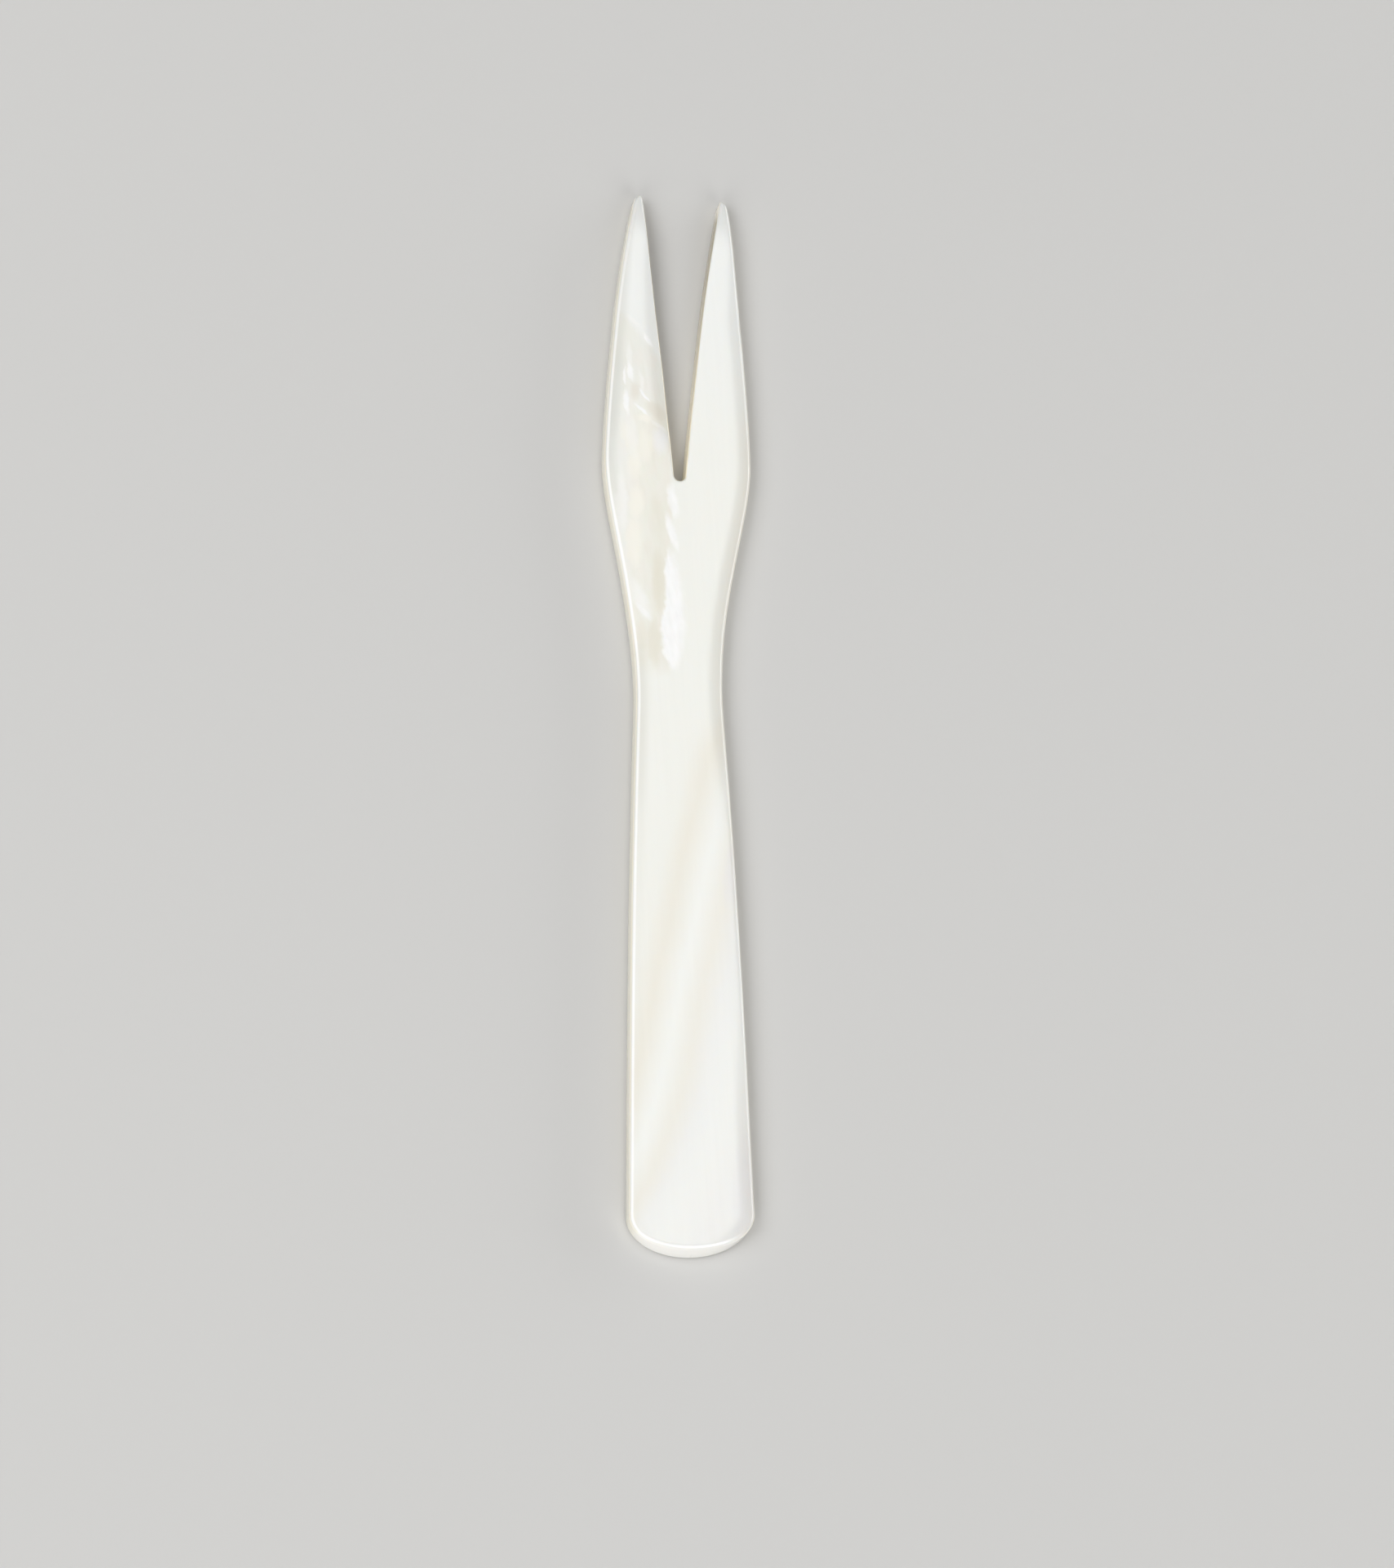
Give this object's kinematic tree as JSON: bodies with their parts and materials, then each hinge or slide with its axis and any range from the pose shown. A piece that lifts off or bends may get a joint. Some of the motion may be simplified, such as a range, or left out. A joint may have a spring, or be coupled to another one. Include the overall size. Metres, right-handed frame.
{
  "type": "sashimi fork",
  "caption": "Flat mother-of-pearl fork for serving sashimi, with tapered tines, a bulged head, a narrow neck and a flared, round-ended handle.",
  "frame": {"origin": "middle of the bounding box, on the flat underside", "axes": "+Y along the fork to the tine tips, +Z out of the polished face, +X to the right seen from above"},
  "size_m": [0.0168, 0.12, 0.0022],
  "materials": {
    "nacre": "polished"
  },
  "bodies": {
    "root": {"fork": "nacre"}
  },
  "joints": []
}
